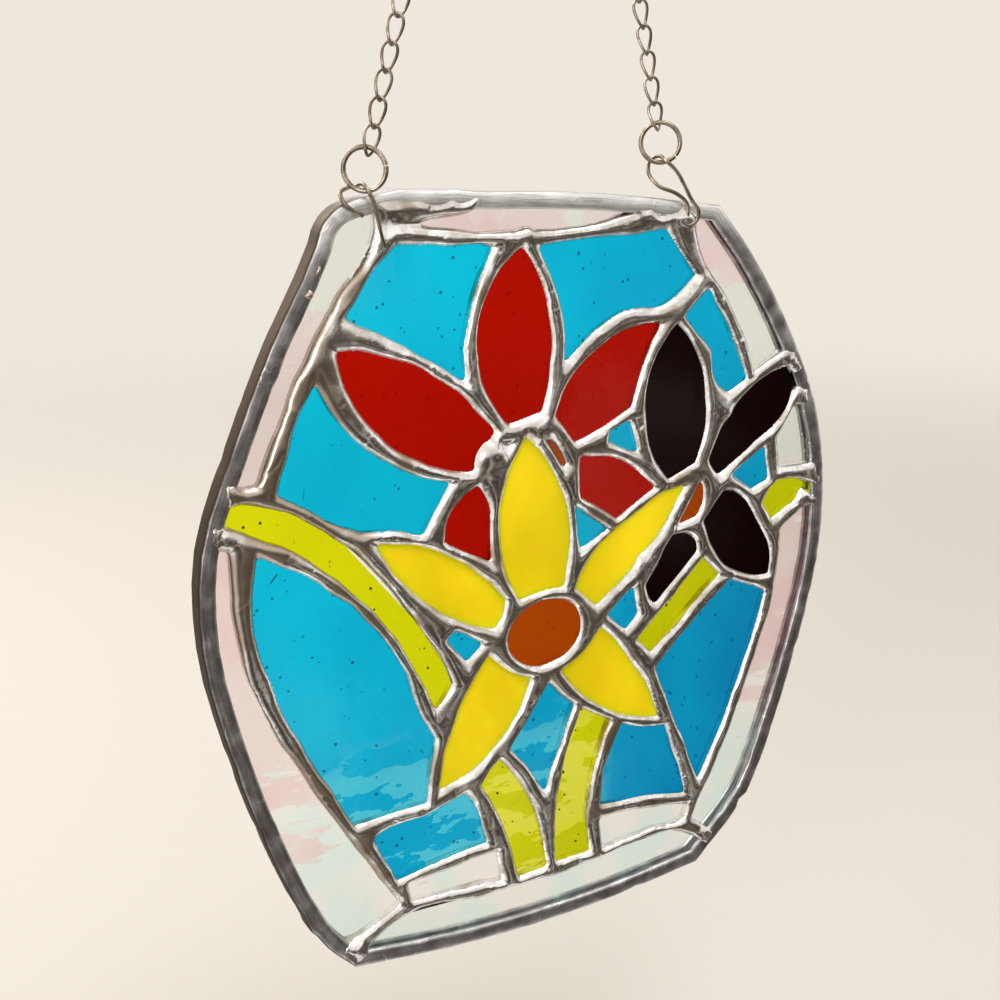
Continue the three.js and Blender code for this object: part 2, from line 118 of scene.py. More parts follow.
class Finish:
    """A material with one Principled shader, and its node tree."""

    def __init__(self, name, **fixed):
        self.material = bpy.data.materials.new(name)
        self.material.use_nodes = True
        self.tree = self.material.node_tree
        self.shader = self.tree.nodes["Principled BSDF"]
        for socket, value in fixed.items():
            self.shader.inputs[socket.replace("_", " ")].default_value = value

    def node(self, kind, settings=None, sockets=None, out=0):
        made = self.tree.nodes.new(kind)
        for name, value in (settings or {}).items():
            if name == "stops":
                ramp = made.color_ramp.elements
                while len(ramp) < len(value):
                    ramp.new(0.5)
                for element, (position, color) in zip(ramp, value):
                    element.position = position
                    element.color = (*color, 1)
            else:
                setattr(made, name, value)
        for name, value in (sockets or {}).items():
            if isinstance(value, Value):
                self.tree.links.new(value.socket, made.inputs[name])
            else:
                made.inputs[name].default_value = value
        return Value(self, made.outputs[out])

    def feed(self, socket, value):
        self.tree.links.new(value.socket, self.shader.inputs[socket])

    def place(self, stretch=(1, 1, 1), turn=(0, 0, 0)):
        """The place on the object in metres, stretched and turned for a pattern."""
        spot = self.node("ShaderNodeTexCoord", out="Object")
        return self.node("ShaderNodeMapping", {}, {"Vector": spot, "Scale": stretch, "Rotation": turn})

    def along(self, axis, low, high):
        """How far a place lies from low to high along X, Y or Z, from 0 to 1."""
        spot = self.node("ShaderNodeTexCoord", out="Object")
        return self.span(self.node("ShaderNodeSeparateXYZ", {}, {"Vector": spot}, axis), low, high)

    def noise(self, size, detail=2, stretch=(1, 1, 1), turn=(0, 0, 0), offset=0.0, jagged=0.5):
        """Soft noise from 0 to 1 with blotches of about the given size in metres."""
        sockets = {"Vector": self.place(stretch, turn), "Scale": 1 / size, "Detail": detail,
                   "Roughness": jagged, "W": offset}
        return self.node("ShaderNodeTexNoise", {"noise_dimensions": "4D"}, sockets, "Fac")

    def ramp(self, fac, *stops):
        return self.node("ShaderNodeValToRGB", {"stops": stops}, {"Fac": fac}, "Color")

    def span(self, value, low, high):
        """Value brought from low..high to 0..1, smoothly and without running over."""
        sockets = {"Value": value, "From Min": low, "From Max": high}
        return self.node("ShaderNodeMapRange", {"interpolation_type": "SMOOTHSTEP"}, sockets)

    def mix(self, fac, first, second, blend="MIX"):
        def colour(value):
            return value if isinstance(value, Value) else (*value, 1)

        sockets = {0: fac, 6: colour(first), 7: colour(second)}
        return self.node("ShaderNodeMix", {"data_type": "RGBA", "blend_type": blend}, sockets, 2)

    def bump(self, height, strength, depth):
        sockets = {"Height": height, "Strength": strength, "Distance": depth}
        self.feed("Normal", self.node("ShaderNodeBump", {}, sockets))


def new_object(name, vertices, faces, material):
    """A mesh object at the origin, made of plain vertices and faces."""
    mesh = bpy.data.meshes.new(name)
    mesh.from_pydata(vertices, [], faces)
    mesh.materials.append(material)
    thing = bpy.data.objects.new(name, mesh)
    bpy.context.scene.collection.objects.link(thing)
    return thing


SURROUND_COLOUR = (0.86, 0.80, 0.72)
FLOOR_COLOUR = (0.385, 0.37, 0.35)
FLOOR_DROP = 90 * MM
FLOOR_RADIUS = 1.6
FADES_FROM = 0.35 * FLOOR_RADIUS
floor_finish = Finish("pale_floor", Roughness=0.9, Base_Color=(*FLOOR_COLOUR, 1))
from_middle = floor_finish.node("ShaderNodeVectorMath", {"operation": "LENGTH"},
                                {0: floor_finish.place()}, "Value")
floor_finish.feed("Alpha", 1 - floor_finish.span(from_middle, FADES_FROM, FLOOR_RADIUS))
floor_height = came_low.z - FLOOR_DROP
floor_corners = [(x * FLOOR_RADIUS, y * FLOOR_RADIUS, floor_height)
                 for x, y in ((-1, -1), (1, -1), (1, 1), (-1, 1))]
floor = new_object("floor", floor_corners, [(0, 1, 2, 3)], floor_finish.material)
floor.visible_glossy = False

world = bpy.data.worlds.new("pale_surround")
world.use_nodes = True
world.node_tree.nodes["Background"].inputs["Color"].default_value = (*SURROUND_COLOUR, 1)
world.node_tree.nodes["Background"].inputs["Strength"].default_value = 1.0
bpy.context.scene.world = world
bpy.context.scene.view_settings.view_transform = "Standard"

panel_middle = panel_foot + Vector((0, 0, (came_high.z - came_low.z) / 2))


def softbox(name, offset, width, height, watts, color=(1, 1, 1)):
    """An area light that far from the middle of the panel, in metres, and pointed at it."""
    lamp = bpy.data.lights.new(name, "AREA")
    lamp.shape = "RECTANGLE"
    lamp.size, lamp.size_y = width, height
    lamp.energy = watts
    lamp.color = color
    lamp_object = bpy.data.objects.new(name, lamp)
    lamp_object.location = panel_middle + Vector(offset)
    lamp_object.rotation_mode = "QUATERNION"
    lamp_object.rotation_quaternion = (-Vector(offset)).to_track_quat("-Z", "Y")
    bpy.context.scene.collection.objects.link(lamp_object)
    lamp_object.visible_camera = False
    lamp_object.visible_transmission = False


softbox("window", (-0.5, 0.9, 0.9), width=0.9, height=0.9, watts=24, color=(1, 0.95, 0.86))
softbox("sky", (0.2, -0.5, 1.3), width=0.9, height=0.5, watts=14)
softbox("fill", (-0.9, -0.7, 0.4), width=0.3, height=0.6, watts=5)

# The room is a dome that only reflections see, and it is half see-through behind the panel. Its walls
# are brown and patchy, and it is bright overhead, underneath and at the sides, so that a bead of solder
# shines along its flanks and is dark on its crown.
DOME_RADIUS = 1.25
FRONT_OF_ROOM = (-0.25, -0.92, -0.3)
DOME_PATCH = 0.3
PATCH_RAGS = 0.12
BACK_ALPHA = 0.5
WINDOW_LIGHT = (1.0, 0.98, 0.95)
dome_mesh = bpy.data.meshes.new("room")
dome_shell = bmesh.new()
bmesh.ops.create_uvsphere(dome_shell, u_segments=48, v_segments=24, radius=DOME_RADIUS)
dome_shell.to_mesh(dome_mesh)
dome_shell.free()
dome_mesh.transform(Matrix.Translation(panel_middle))
room = bpy.data.objects.new("room", dome_mesh)
bpy.context.scene.collection.objects.link(room)
room_finish = Finish("room_side", Roughness=1.0, Base_Color=(0, 0, 0, 1), Emission_Strength=1.0)


def towards(axis):
    """How nearly a place on the dome lies in that direction, from -1 to 1."""
    unit = Vector(axis).normalized() / DOME_RADIUS
    spot = {0: room_finish.place(), 1: unit}
    nearness = room_finish.node("ShaderNodeVectorMath", {"operation": "DOT_PRODUCT"}, spot, "Value")
    return nearness - panel_middle.dot(unit)


patches = room_finish.span(room_finish.noise(DOME_PATCH, 3), 0.38, 0.62)
wall_tone = room_finish.ramp(patches, (0.0, (0.022, 0.016, 0.010)), (0.35, (0.07, 0.055, 0.04)),
                             (0.65, (0.17, 0.15, 0.125)), (1.0, (0.48, 0.45, 0.41)))
overhead = room_finish.span(towards((0, 0, 1)) + PATCH_RAGS * patches, 0.04, 0.26)
underneath = room_finish.span(towards((0, 0, -1)) + PATCH_RAGS * patches, 0.78, 0.92)
right_wall = room_finish.span(towards((1, 0, 0)), 0.86, 0.96)
left_wall = room_finish.span(towards((-1, 0, 0)), 0.5, 0.72)
windows = overhead.math("MAXIMUM", underneath).math("MAXIMUM", right_wall + left_wall)
room_finish.feed("Emission Color", room_finish.mix(windows, wall_tone, WINDOW_LIGHT))
front_half = room_finish.span(towards(FRONT_OF_ROOM), 0.0, 0.05)
room_finish.feed("Alpha", BACK_ALPHA + (1 - BACK_ALPHA) * front_half)
dome_mesh.materials.append(room_finish.material)
room.visible_camera = room.visible_diffuse = room.visible_transmission = room.visible_shadow = False


# ---------------------------------------------------------------- coloured glass
# Flat panes cut from 3 mm sheet. The blue, red, orange, maroon and green are see-through cathedral
# glass, rippled and mostly seedy, with painted shade deepening them to the lower right and patches of
# painted reflection on the blue and green; the yellow is opal glass that glows when lit from behind,
# and the clear border glass has a pink and mint lustre and a painted pale bluish reflection low down.
SEED_SPACING = 4.2 * MM
PANEL_WIDE = (came_low.x, came_high.x)
PANEL_TALL = (came_low.z, came_high.z)
middle_y = (came_low.y + came_high.y) / 2


def across_panel(distance):
    """The x that many millimetres from the left side of the rim."""
    return came_low.x + distance * MM


def up_panel(height):
    """The z that many millimetres above the foot of the rim."""
    return came_low.z + height * MM


def front_side(finish):
    """One on the front of the sheet and none on its back, so that a mark doesn't show twice."""
    return 1 - finish.along("Y", middle_y - 0.1 * MM, middle_y + 0.1 * MM)


def seeds_and_hairs(finish):
    """Where tiny dark seeds and short hair-thin marks lie in the sheet."""
    flat = finish.place((1, 1, 1), (pi / 2, 0, 0))
    spots = {"Vector": flat, "Scale": 1 / SEED_SPACING}
    far = finish.node("ShaderNodeTexVoronoi", {"voronoi_dimensions": "2D"}, spots, "Distance")
    size = finish.span(finish.noise(5 * MM, 1, offset=4.0), 0.42, 0.7)
    seed = 1 - finish.span(far - 0.12 * size, -0.03, 0.02)
    swirl = finish.noise(60 * MM, 1, (1, 1, 0.4), (0, 0.5, 0), 6.0)
    line = 1 - finish.span((swirl - 0.5).math("ABSOLUTE"), 0.0005, 0.0022)
    hair = line * finish.span(finish.noise(5 * MM, 1, offset=9.0), 0.6, 0.64)
    return seed.math("MAXIMUM", hair) * front_side(finish)


def cathedral_glass(name, light, deep, roughness, seeds=0.0, painted_glare=None, ripples=0.35, shine=0.3):
    """See-through glass with painted shade that deepens it to the lower right; an optional paler tone
    lies in jagged patches as a painted reflection.
    """
    finish = Finish(name, Roughness=roughness, IOR=1.4, Transmission_Weight=1.0,
                    Specular_IOR_Level=shine)
    # Painted shade: the tone deepens towards the lower right of the panel, as if the glass were lit
    # from the upper left.
    painted_shade = 0.5 * finish.along("X", *PANEL_WIDE) + 0.5 * (1 - finish.along("Z", *PANEL_TALL))
    streak = finish.span(finish.noise(28 * MM, 3, (1, 1, 0.6)), 0.3, 0.7)
    tone = finish.mix(0.95 * painted_shade + 0.25 * streak - 0.17, light, deep)
    if painted_glare:
        # Painted reflection: a paler tone in jagged patches, low on the left of the front face, stands
        # for reflected light.
        jagged = finish.noise(22 * MM, 4, (1, 1, 2.4), (0, 0.45, 0), 7.0, 0.62)
        low = 1 - finish.along("Z", up_panel(52), up_panel(68))
        left = 1 - finish.along("X", across_panel(108), across_panel(116))
        reflection_flash = finish.span(jagged, 0.515, 0.52) * low * left
        tone = finish.mix(reflection_flash * front_side(finish), tone, painted_glare)
    if seeds:
        tone = finish.mix(seeds_and_hairs(finish) * seeds, tone, tuple(0.02 * c for c in deep))
    finish.feed("Base Color", tone)
    ripple = finish.noise(9 * MM, 2, (1, 1, 0.5)) + 0.2 * finish.noise(1.6 * MM, 1)
    finish.bump(ripple, ripples, 0.3 * MM)
    return finish


def lustre_glass(name):
    """Clear glass, rosy above with a pink and mint lustre, and painted a pale bluish white low down as
    a painted reflection, the two meeting in jagged flashes.
    """
    finish = Finish(name, Roughness=0.05, IOR=1.5, Transmission_Weight=1.0)
    front = front_side(finish)
    reflection_flash = finish.noise(30 * MM, 3, (1, 1, 3.4), (0, -0.5, 0), 3.0, 0.7)
    rose = finish.mix(finish.span(finish.noise(40 * MM, 2, offset=1.0), 0.42, 0.58),
                      (0.90, 0.66, 0.70), (0.91, 0.79, 0.81))
    mint = finish.span(finish.noise(30 * MM, 4, offset=5.0, jagged=0.6), 0.5, 0.51)
    mint = mint * finish.along("Z", up_panel(118), up_panel(124))
    upper = finish.mix(mint, rose, (0.86, 0.94, 0.89))
    # Painted reflection: low down the clear glass is painted a pale bluish white that stands for
    # reflected light.
    reflection_white = finish.mix(finish.span(finish.noise(18 * MM, 3, offset=2.0), 0.42, 0.6),
                      (0.80, 1.0, 1.0), (1.0, 1.0, 1.0))
    lowness = 1.35 - 1.3 * finish.along("Z", up_panel(-20), up_panel(104))
    painted_reflection_mask = finish.span(lowness + 3.0 * (reflection_flash - 0.5), 0.5, 0.51)
    both = finish.mix(painted_reflection_mask, upper, reflection_white)
    finish.feed("Base Color", finish.mix(front, finish.mix(0.5, both, (0.95, 0.93, 0.93)), both))
    ripple = finish.noise(14 * MM, 3, (1, 1, 0.6)) + 0.15 * finish.noise(2 * MM, 1)
    finish.bump(ripple, 0.5, 0.35 * MM)
    return finish


GLASS = {
    "blue": cathedral_glass("blue_glass", (0.004, 0.67, 1.0), (0.004, 0.24, 0.60), roughness=0.06,
                            seeds=0.9, painted_glare=(0.9, 0.9, 1.0)),
    "red": cathedral_glass("red_glass", (0.52, 0.006, 0.0), (0.36, 0.002, 0.0), roughness=0.06,
                           seeds=0.5),
    "orange": cathedral_glass("orange_glass", (0.50, 0.08, 0.001), (0.36, 0.045, 0.0), roughness=0.1,
                              seeds=0.4),
    "dark": cathedral_glass("dark_glass", (0.008, 0.0003, 0.0002), (0.003, 0.0, 0.0), roughness=0.07,
                            ripples=0.15, shine=0.1),
    "green": cathedral_glass("green_glass", (0.84, 0.89, 0.004), (0.54, 0.61, 0.003), roughness=0.08,
                             seeds=1.0, painted_glare=(1.0, 1.0, 0.9)),
    "clear": lustre_glass("clear_glass"),
}
opal = Finish("yellow_glass", Roughness=0.22, Subsurface_Weight=1.0, Subsurface_Scale=0.004)
opal_drift = opal.span(opal.noise(26 * MM, 3, (1, 1, 0.6)), 0.35, 0.65)
opal.feed("Base Color", opal.mix(opal_drift, (0.64, 0.53, 0.004), (0.76, 0.65, 0.008)))
opal.bump(opal.noise(7 * MM, 2), 0.25, 0.3 * MM)
GLASS["yellow"] = opal
for node_name, pane in frame["nodes"].items():
    if node_name.startswith("glass_"):
        pane.material_slots[0].material = GLASS[node_name.split("_")[1]].material

# ---------------------------------------------------------------- solder net
# Tin solder run by hand over every joint between the panes, front and back. It stands up in rounded
# beads of uneven width, swells where lines meet, and laps onto the came in short tongues.
GRID = 0.53 * MM
SHARP_TURN = radians(34)
CURVE_STEPS = 5
LAP, LEAST_LAP = 0.7 * MM, 0.5 * MM
LEAST_HALF_LINE = 0.95 * MM
GLASS_HALF = 1.5 * MM
CAME_HALF = 3.2 * MM


def face_outlines(node, height):
    """The closed outlines of a node's flat face at that y, as rows of x and z."""
    mesh = frame["nodes"][node].data
    sides = set()
    for face in mesh.polygons:
        corners = [mesh.vertices[i].co for i in face.vertices]
        if max(abs(c.y - height) for c in corners) > 0.01 * MM:
            continue
        keys = [(round(c.x / MM, 2), round(c.z / MM, 2)) for c in corners]
        for side in zip(keys, keys[1:] + keys[:1]):
            if side[::-1] in sides:
                sides.remove(side[::-1])
            else:
                sides.add(side)
    following = dict(sides)
    outlines = []
    while following:
        start, corner = following.popitem()
        outline = [start]
        while corner != start:
            outline.append(corner)
            corner = following.pop(corner)
        outlines.append(np.array(outline) * MM)
    return outlines


def smooth_outline(corners, steps=CURVE_STEPS):
    """The same outline with its gentle corners turned into curves and its sharp ones kept."""
    before, after = np.roll(corners, 1, 0), np.roll(corners, -1, 0)
    incoming, outgoing = corners - before, after - corners
    lengths_in = np.linalg.norm(incoming, axis=1, keepdims=True)
    lengths_out = np.linalg.norm(outgoing, axis=1, keepdims=True)
    unit_in, unit_out = incoming / lengths_in, outgoing / lengths_out
    turn = np.arccos(np.clip((unit_in * unit_out).sum(1), -1, 1))
    tangent = unit_in * lengths_out + unit_out * lengths_in
    tangent /= np.linalg.norm(tangent, axis=1, keepdims=True)
    gentle = (turn < SHARP_TURN)[:, None]
    leave = np.where(gentle, tangent, unit_out) * lengths_out
    arrive = np.roll(np.where(gentle, tangent, unit_in), -1, 0) * lengths_out
    pieces = []
    for t in np.arange(steps) / steps:
        pieces.append((2 * t**3 - 3 * t**2 + 1) * corners + (t**3 - 2 * t**2 + t) * leave
                      + (3 * t**2 - 2 * t**3) * after + (t**3 - t**2) * arrive)
    return np.stack(pieces, 1).reshape(-1, 2)


def distance_to(outline, x, z):
    """How far each place is from an outline, and whether it lies inside."""
    a, b = outline, np.roll(outline, -1, 0)
    nearest = np.full(x.shape, 1.0)
    inside = np.zeros(x.shape, bool)
    for (ax, az), (bx, bz) in zip(a, b):
        dx, dz = bx - ax, bz - az
        t = np.clip(((x - ax) * dx + (z - az) * dz) / (dx * dx + dz * dz), 0, 1)
        nearest = np.minimum(nearest, np.hypot(x - ax - t * dx, z - az - t * dz))
        if az != bz:
            inside ^= ((az > z) != (bz > z)) & (x < dx * (z - az) / dz + ax)
    return nearest, inside


def blurred(field, radius, step=GRID):
    """A field softened with a Gaussian of that radius in metres."""
    fz, fx = np.meshgrid(*(np.fft.fftfreq(n) for n in field.shape), indexing="ij")
    soft = np.exp(-2 * (pi * radius / step) ** 2 * (fx**2 + fz**2))
    return np.fft.ifft2(np.fft.fft2(field) * soft).real


def roughness_field(shape, size, seed):
    """Even-handed noise with bumps of about that size, from about -2 to 2."""
    noise = blurred(np.random.default_rng(seed).standard_normal(shape), size / 3)
    return noise / noise.std()


def grown(field, cells):
    """The highest value of the field within that many cells."""
    for _ in range(cells):
        for axis in (0, 1):
            field = np.maximum(field, np.maximum(np.roll(field, 1, axis), np.roll(field, -1, axis)))
    return field


def field_at(field, x, z):
    """A grid field read at the nearest grid point."""
    column = np.clip(np.round((x - xs[0]) / GRID).astype(int), 0, len(xs) - 1)
    row = np.clip(np.round((z - zs[0]) / GRID).astype(int), 0, len(zs) - 1)
    return field[row, column]


def ease(value, low, high):
    t = np.clip((value - low) / (high - low), 0, 1)
    return t * t * (3 - 2 * t)


came_front = face_outlines("came_frame", came_low.y)
face_edge = max(came_front, key=lambda line: np.ptp(line[:, 0]))
FACE_INSET = 0.5 * MM
xs = np.arange(came_low.x, came_high.x + GRID, GRID)
zs = np.arange(came_low.z, came_high.z + GRID, GRID)
grid_x, grid_z = np.meshgrid(xs, zs)
rim_far, rim_inside = distance_to(smooth_outline(face_edge), grid_x, grid_z)
from_rim = np.where(rim_inside, rim_far, -rim_far) + FACE_INSET

# Border panes end in the came's channel, so there their outlines are carried on past the rim.
CHANNEL_FLOOR = 4.3 * MM
PAST_RIM = 6 * MM
slope_z, slope_x = np.gradient(from_rim, GRID)


def past_the_rim(outline):
    x, z = outline.T
    in_channel = field_at(from_rim, x, z) < CHANNEL_FLOOR
    outwards = -np.stack([field_at(slope_x, x, z), field_at(slope_z, x, z)], 1)
    outwards /= np.linalg.norm(outwards, axis=1, keepdims=True) + 1e-9
    return outline + outwards * np.where(in_channel, PAST_RIM, 0)[:, None]


# How far each place on the grid lies outside the nearest pane, worked out only this far round it.
REACH = 9 * MM
opening_far = np.full(grid_x.shape, REACH)
for node_name in frame["nodes"]:
    if not node_name.startswith("glass_"):
        continue
    outline = past_the_rim(smooth_outline(face_outlines(node_name, middle_y - GLASS_HALF)[0]))
    (x0, z0), (x1, z1) = outline.min(0) - REACH, outline.max(0) + REACH
    across = slice(*np.searchsorted(xs, (x0, x1)))
    up = slice(*np.searchsorted(zs, (z0, z1)))
    far, within = distance_to(outline, grid_x[up, across], grid_z[up, across])
    opening_far[up, across] = np.minimum(opening_far[up, across], np.where(within, -far, far))

# How far each place lies inside the edge of the solder, which laps over the panes unevenly.
wander = roughness_field(grid_x.shape, 9 * MM, 11)
waver = roughness_field(grid_x.shape, 3 * MM, 12)
edge = blurred(opening_far + LAP, 0.45 * MM) + (0.2 * wander + 0.03 * waver) * MM
wider_at_rim = 0.3 * MM * (1 - ease(from_rim, 4 * MM, 7 * MM))
edge = np.maximum(edge + wider_at_rim, opening_far + LEAST_LAP)
too_thin = np.clip(LEAST_HALF_LINE - grown(edge, 3), 0, 0.6 * MM)
edge += too_thin

# Extra dabs of solder, in millimetres across and up from the middle of the foot, with their radius
# and their height.
DABS = [(-15.5, 135.5, 4.6, 0.5), (-3, 142, 3.0, 0.5), (56.5, 140, 3.0, 0.5), (31.5, 100, 2.8, 0.4),
        (-5.5, 190.3, 2.2, 0.4), (41.6, 192.8, 3.0, 1.3), (-43.8, 191.5, 2.7, 0.3),
        (-84, 136.2, 2.0, 0.3), (-85.5, 125.2, 2.4, 0.3), (-57.5, 8.5, 3.4, 0.8), (60, 10, 2.2, 0.3),
        (80.5, 151, 2.8, 0.8), (86, 111, 2.2, 0.4), (-61.3, 186, 1.6, 0.4), (-63, 180.5, 1.3, 0.3)]
dab_height = np.zeros(grid_x.shape)
for across, up, radius, stands in DABS:
    away = np.hypot(grid_x - panel_foot.x - across * MM, grid_z - panel_foot.z - up * MM)
    away += 0.25 * MM * waver
    dab_edge = radius * MM - away
    edge = (edge + dab_edge + np.hypot(edge - dab_edge, 0.8 * MM)) / 2
    dab_height += stands * MM * np.clip(1 - (away / (radius * 1.2 * MM)) ** 2, 0, 1) ** 2
# On the came each line of solder ends in a tongue, some longer and some shorter.
tongue_end = 0.9 * MM + 0.9 * MM * np.abs(roughness_field(grid_x.shape, 6 * MM, 13))
bead = np.minimum(edge, from_rim - tongue_end)

# The wider a bead is, the higher its crown stands, up to the tallest.
TALLEST_CROWN, CROWN_SPREAD = 1.6 * MM, 1.35 * MM
half_width = np.maximum(blurred(grown(bead, 6), 1.6 * MM), 0.9 * MM)
crown = TALLEST_CROWN * (1 - np.exp(-half_width / CROWN_SPREAD))
share = np.clip(bead / half_width, 0, 1)
rounded = 1 - (1 - share) ** 3
on_came = 1 - ease(from_rim, 4.3 * MM, 7 * MM)
# On the came a tongue of solder stands this far over the lead, and its edge is sunk this far in it.
over_came = CAME_HALF - GLASS_HALF
TONGUE_STANDS, TONGUE_SUNK = 0.2 * MM, 0.28 * MM
SEAM_COUNT = 90


def seams(seed):
    """Low ridges and grooves across the beads, where one run of solder froze against the next."""
    draw = np.random.default_rng(seed)
    spots = np.argwhere((share > 0.85) & (half_width < 2.6 * MM))
    reach = int(3 * MM / GRID)
    slope = np.gradient(blurred(opening_far, 1.2 * MM), GRID)
    relief = np.zeros(grid_x.shape)
    for row, column in spots[draw.integers(len(spots), size=SEAM_COUNT)]:
        area = (slice(max(row - reach, 0), row + reach), slice(max(column - reach, 0), column + reach))
        tangent = np.array([-slope[0][row, column], slope[1][row, column]])
        tangent = tangent / (np.linalg.norm(tangent) + 1e-9)
        off_x, off_z = grid_x[area] - grid_x[row, column], grid_z[area] - grid_z[row, column]
        curl = 0.1 * off_x * off_z / MM * draw.normal()
        lengthways = tangent[0] * off_x + tangent[1] * off_z + curl
        relief[area] += draw.choice((-0.14, 0.12)) * MM * np.exp(-(lengthways / (0.42 * MM)) ** 2)
    return relief


def bead_height(seed):
    """How high the solder stands over the glass, with lumps, ripples, seams and small pits."""
    lumps = 1 + 0.13 * roughness_field(grid_x.shape, 9 * MM, seed)
    ripple = 0.03 * MM * roughness_field(grid_x.shape, 3 * MM, seed + 1)
    pits = 0.3 * MM * ease(roughness_field(grid_x.shape, 2.4 * MM, seed + 2), 2.1, 3.0)
    over_glass = crown * rounded * lumps
    beside = (over_came + TONGUE_STANDS) * rounded
    on_face = over_came - TONGUE_SUNK + (TONGUE_STANDS + TONGUE_SUNK) * ease(share, 0, 0.9)
    over_flange = beside + (on_face - beside) * (1 - ease(from_rim, 3.9 * MM, 4.5 * MM))
    height = over_glass + (over_flange - over_glass) * on_came
    return height + dab_height + (ripple - pits + seams(seed + 3)) * ease(share, 0.1, 0.5)


def clipped_grid(field, x, z):
    """The part of a grid where the field is positive, cut along its zero line.

    Gives the x and z of every vertex, whether it lies on the cut and the grid point it comes from,
    then the triangles and the sides along the cut."""
    rows, columns = field.shape
    count = rows * columns
    flat = field.ravel()
    index = np.arange(count).reshape(rows, columns)[:-1, :-1].ravel()
    right, above, across = index + 1, index + columns, index + columns + 1
    level, upright, slanted = count + index, 2 * count + index, 3 * count + index
    corner_sets = [((index, right, across), (level, upright + 1, slanted)),
                   ((index, across, above), (slanted, level + columns, upright))]
    triangles, cut = [], []
    for corners, sides in corner_sets:
        kept = [flat[c] > 0 for c in corners]
        every = kept[0] & kept[1] & kept[2]
        triangles.append(np.stack([c[every] for c in corners], 1))
        for turn in range(3):
            a, b, c = (corners[(turn + k) % 3] for k in range(3))
            ab, bc, ca = (sides[(turn + k) % 3] for k in range(3))
            ka, kb, kc = (kept[(turn + k) % 3] for k in range(3))
            lone = ka & ~kb & ~kc
            triangles.append(np.stack([a[lone], ab[lone], ca[lone]], 1))
            cut.append(np.stack([ab[lone], ca[lone]], 1))
            pair = ka & kb & ~kc
            triangles.append(np.stack([a[pair], b[pair], bc[pair]], 1))
            triangles.append(np.stack([a[pair], bc[pair], ca[pair]], 1))
            cut.append(np.stack([bc[pair], ca[pair]], 1))
    triangles, cut = np.concatenate(triangles), np.concatenate(cut)
    used, triangles = np.unique(triangles, return_inverse=True)
    triangles = triangles.reshape(-1, 3)
    cut = np.searchsorted(used, cut)
    kind, start = used // count, used % count
    end = start + np.choose(kind, (0, 1, columns, columns + 1))
    drop = flat[start] - flat[end]
    blend = np.where(kind == 0, 0, np.clip(flat[start] / np.where(drop == 0, 1, drop), 0.15, 0.85))
    px = x.ravel()[start] * (1 - blend) + x.ravel()[end] * blend
    pz = z.ravel()[start] * (1 - blend) + z.ravel()[end] * blend
    return px, pz, kind > 0, start, triangles, cut


# The beads' thin edges are sunk a little way into the glass.
SUNK = 0.06 * MM
px, pz, on_edge, at, triangles, cut = clipped_grid(bead, grid_x, grid_z)
sides_y = []
for direction, seed in ((-1, 20), (1, 40)):
    height = np.where(on_edge, -SUNK, bead_height(seed).ravel()[at])
    sides_y.append(middle_y + direction * (GLASS_HALF + height))
count = len(px)
net_points = np.concatenate([np.stack([px, y, pz], 1) for y in sides_y])
walls = np.stack([cut[:, 0], cut[:, 1], cut[:, 1] + count, cut[:, 0] + count], 1)
net_faces = [tuple(t) for t in triangles.tolist()]
net_faces += [tuple(t) for t in (triangles[:, ::-1] + count).tolist()]
net_faces += [tuple(w) for w in walls[:, ::-1].tolist()]


def metal(name, bright, dull, tarnish, roughness, blotch, stain, grain):
    """Bare metal that is bright on its crowns, brown in its hollows and stained in patches."""
    finish = Finish(name, Metallic=1.0)
    crown_share = finish.node("ShaderNodeAttribute", {"attribute_name": "crown"}, out="Fac")
    cloud = finish.noise(blotch, 3)
    tone = finish.mix(finish.span(cloud, 0.4, 0.6), bright, dull)
    rise = finish.span(crown_share, 0.06, 0.3) * (1 - finish.span(crown_share, 0.6, 0.95))
    hollow = 0.35 * rise * finish.span(finish.noise(blotch / 2, 2), 0.35, 0.6)
    left = 1 - finish.along("X", across_panel(20), across_panel(80))
    patch = finish.span(finish.noise(blotch * 2.5, 3, offset=2.0) + 0.19 * left, 0.55, 0.67) * stain
    brown = hollow.math("MAXIMUM", patch)
    speck = finish.span(finish.noise(0.9 * MM, 2, offset=3.0), 0.64, 0.72)
    tone = finish.mix(brown, tone, tarnish)
    finish.feed("Base Color", finish.mix(0.35 * speck, tone, tuple(0.4 * c for c in tarnish)))
    finish.feed("Roughness", roughness + 0.2 * cloud + 0.2 * brown)
    finish.bump(finish.noise(1.6 * MM, 2) + 0.5 * finish.noise(0.5 * MM, 2), grain, 0.09 * MM)
    return finish


solder_finish = metal("tin_solder", bright=(0.95, 0.94, 0.92), dull=(0.80, 0.77, 0.73),
                      tarnish=(0.34, 0.23, 0.14), roughness=0.06, blotch=7 * MM, stain=0.75, grain=0.45)
net = new_object("solder_work", net_points.tolist(), net_faces, solder_finish.material)
crown_share = net.data.attributes.new("crown", "FLOAT", "POINT")
share_at = np.where(on_edge, 0, share.ravel()[at])
crown_share.data.foreach_set("value", np.tile(share_at, 2).astype(np.float32))
net.data.shade_smooth()
ends = np.zeros(len(net.data.edges) * 2, int)
net.data.edges.foreach_get("vertices", ends)
ends = ends.reshape(-1, 2)
on_rim = on_edge[ends % count].all(1) & (ends[:, 0] // count == ends[:, 1] // count)
net.data.attributes.new("sharp_edge", "BOOLEAN", "EDGE").data.foreach_set("value", on_rim)
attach(net, "root")
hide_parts("solder_net")

